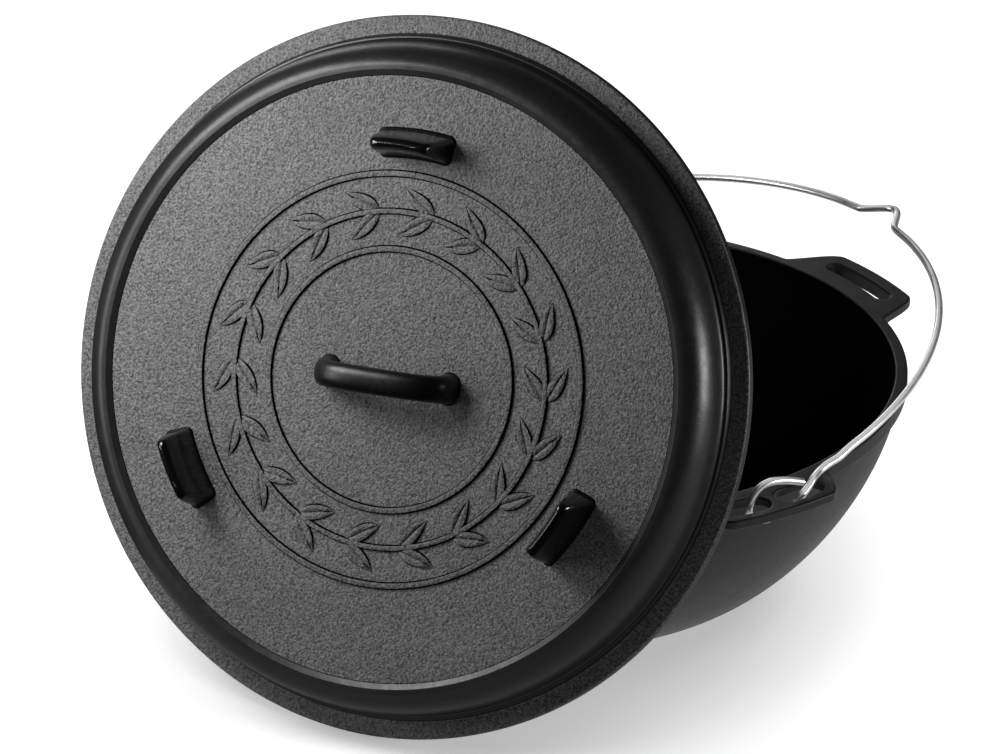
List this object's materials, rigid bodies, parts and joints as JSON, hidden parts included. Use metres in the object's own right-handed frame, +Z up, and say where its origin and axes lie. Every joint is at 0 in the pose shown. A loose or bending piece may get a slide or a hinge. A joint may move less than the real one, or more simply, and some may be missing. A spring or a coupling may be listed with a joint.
{
  "type": "cauldron",
  "caption": "Wide round cast-iron camp pot with flat grip and bail lugs, a three-footed lid with a bow handle, and a folding wire bail.",
  "frame": {"origin": "centre of the pot's flat base, on the floor", "axes": "+Z up out of the pot's mouth; +X towards the grip lug that the bail folds over; -Y towards the near bail lug"},
  "size_m": [0.4693, 0.4209, 0.344],
  "materials": {
    "pot_iron": "matt seasoned iron",
    "lid_iron": "seasoned iron, grained disc and smooth shoulder",
    "wire_steel": "bright drawn stainless wire"
  },
  "bodies": {
    "pot": {"pot": "pot_iron"},
    "lid": {"lid": "lid_iron"},
    "bail": {"bail": "wire_steel"}
  },
  "joints": [
    {"name": "bail_swing", "type": "hinge", "parent": "pot", "child": "bail", "pos_m": [0, 0, 0.1201], "axis": [0, -1, 0], "range_deg": [0, 84]},
    {"name": "lid_lift_off", "type": "slide", "parent": "pot", "child": "lid", "axis": [-0.7814, -0.5074, 0.3633], "range_m": [0, 0.2]}
  ]
}
